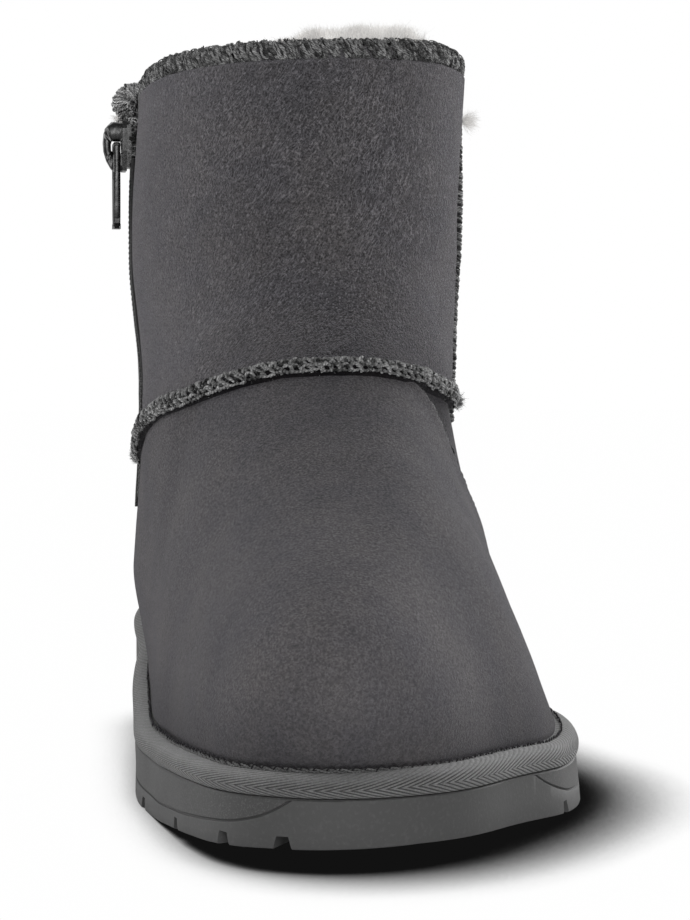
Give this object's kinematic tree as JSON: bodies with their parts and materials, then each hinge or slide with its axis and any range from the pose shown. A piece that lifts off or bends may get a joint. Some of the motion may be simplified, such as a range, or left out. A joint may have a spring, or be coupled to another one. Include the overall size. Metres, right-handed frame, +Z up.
{
  "type": "snow boot",
  "caption": "Left ankle snow boot: fleece-lined suede upper on a tape-wrapped platform and lugged outsole, closed by a side zip.",
  "frame": {"origin": "on the floor, under the middle of the leg opening, on the heel's flat tread", "axes": "+Z up, +Y towards the heel's back, -Y along the toe, -X towards the inner (medial) side of this left boot, +X outwards"},
  "size_m": [0.1131, 0.2633, 0.194],
  "materials": {
    "sole_rubber": "matte moulded rubber",
    "platform_tape": "herringbone twill tape",
    "fleece": "deep plush pile",
    "suede": "brushed suede nap",
    "zip_fabric": "woven tape with a coil chain",
    "zip_metal": "black lacquered, semi gloss"
  },
  "bodies": {
    "boot": {"outsole": "sole_rubber", "platform": "platform_tape", "insole": "fleece", "upper": "suede", "zip_tape": "zip_fabric", "zip_slider": "zip_metal"},
    "pull": {"zip_pull": "zip_metal"}
  },
  "joints": [
    {"name": "pull_hinge", "type": "hinge", "parent": "boot", "child": "pull", "pos_m": [-0.0509, 0.018, 0.1717], "axis": [0, 1, 0], "range_deg": [0, 160]}
  ]
}
